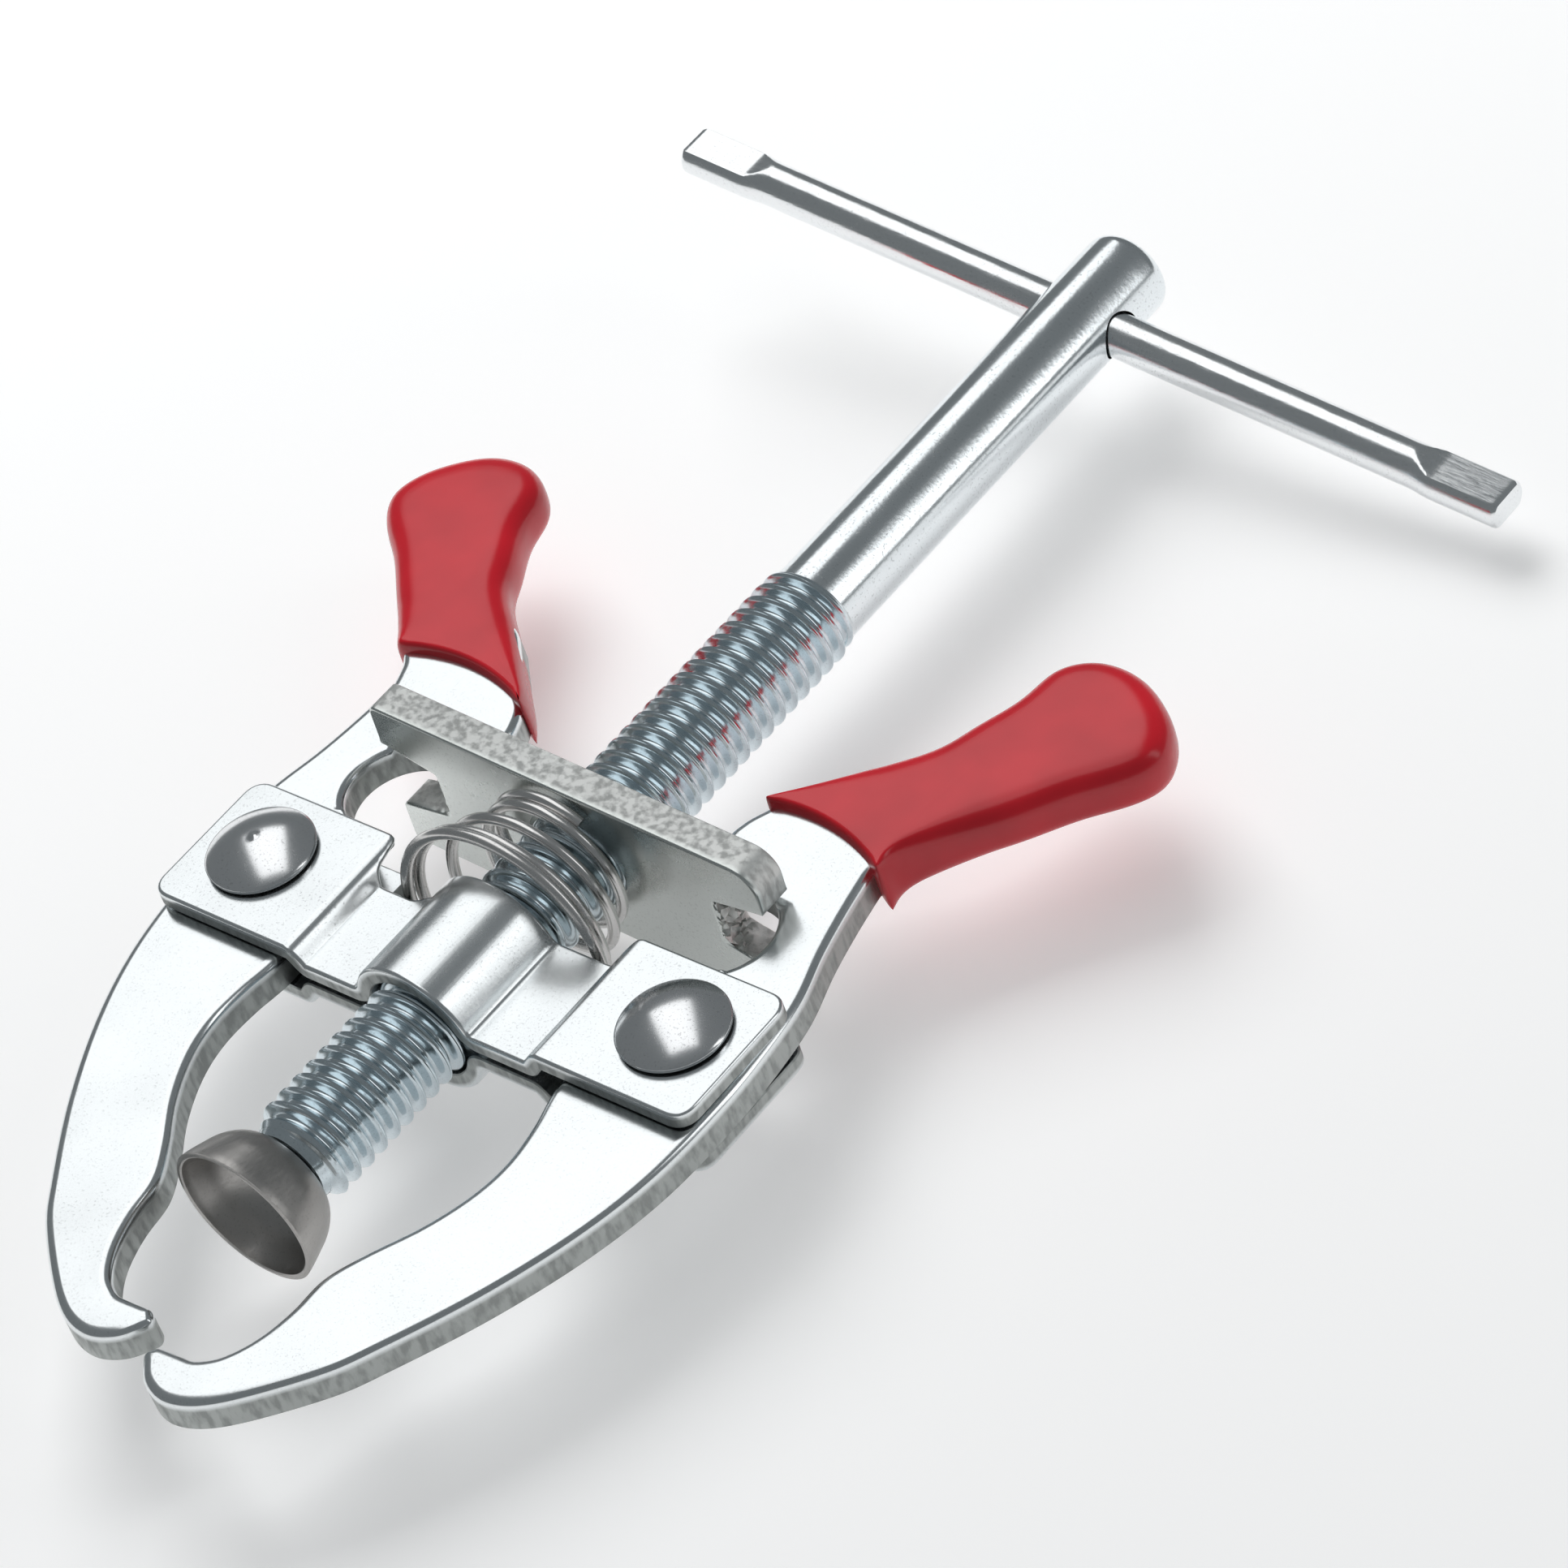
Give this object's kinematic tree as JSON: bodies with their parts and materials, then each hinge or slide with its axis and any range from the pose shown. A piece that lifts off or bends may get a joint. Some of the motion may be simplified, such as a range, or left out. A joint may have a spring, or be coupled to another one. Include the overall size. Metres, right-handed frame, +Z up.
{
  "type": "two-jaw screw puller",
  "caption": "Spring-closed screw puller with two riveted jaws, dipped plier handles, a slotted crossbar, and a T-handled spindle ending in a swivel cup.",
  "frame": {"origin": "middle of the underside of the bounding box, with the arms lying flat", "axes": "+X across the tool from the left arm to the right arm, +Y along the screw from the jaws to the T-bar, +Z up, square to the arms"},
  "size_m": [0.1136, 0.1782, 0.0272],
  "materials": {
    "zinc_plate": "bright zinc-plated sheet steel, smooth on the flats, rough where it was sheared",
    "rivet_zinc": "bright zinc on smooth round steel",
    "screw_zinc": "blue-grey zinc on rolled thread and turned cup",
    "spring_steel": "bare drawn spring wire",
    "red_vinyl": "thick glossy dipped vinyl"
  },
  "bodies": {
    "frame": {"upper_bracket": "zinc_plate", "lower_bracket": "zinc_plate", "left_rivet": "rivet_zinc", "right_rivet": "rivet_zinc", "spring": "spring_steel"},
    "left_jaw": {"left_arm": "zinc_plate", "left_grip": "red_vinyl"},
    "right_jaw": {"right_arm": "zinc_plate", "right_grip": "red_vinyl"},
    "crossbar": {"crossbar": "zinc_plate"},
    "cup": {"cup": "screw_zinc"},
    "spindle": {"spindle": "screw_zinc"},
    "t_bar": {"t_bar": "rivet_zinc"}
  },
  "joints": [
    {"name": "left_jaw_swing", "type": "hinge", "parent": "frame", "child": "left_jaw", "pos_m": [-0.02956, -0.0283, 0.01348], "axis": [0, 0, -1], "range_deg": [0, 18], "stiffness_Nm_per_rad": 0.4, "springref_deg": -11.46},
    {"name": "right_jaw_swing", "type": "hinge", "parent": "frame", "child": "right_jaw", "pos_m": [0.02989, -0.0283, 0.01348], "axis": [0, 0, 1], "range_deg": [0, 18.01]},
    {"name": "crossbar_slide", "type": "slide", "parent": "frame", "child": "crossbar", "axis": [0, -1, 0], "range_m": [0, 0.0052], "deforming": ["spring"]},
    {"name": "screw_travel", "type": "slide", "parent": "frame", "child": "cup", "axis": [0, 1, 0], "range_m": [-0.007, 0.02]},
    {"name": "spindle_turn", "type": "hinge", "parent": "cup", "child": "spindle", "pos_m": [0.00017, -0.06157, 0.01348], "axis": [0, 1, 0], "range_deg": [-1201, 3430]},
    {"name": "t_bar_slide", "type": "slide", "parent": "spindle", "child": "t_bar", "axis": [0.9902, 0, -0.1395], "range_m": [-0.0385, 0.038]}
  ],
  "couplings": [
    {"joint": "right_jaw_swing", "follows": "left_jaw_swing", "ratio": 1},
    {"joint": "crossbar_slide", "follows": "left_jaw_swing", "m_per_rad": 0.0162},
    {"joint": "spindle_turn", "follows": "screw_travel", "rad_per_m": 2992}
  ]
}
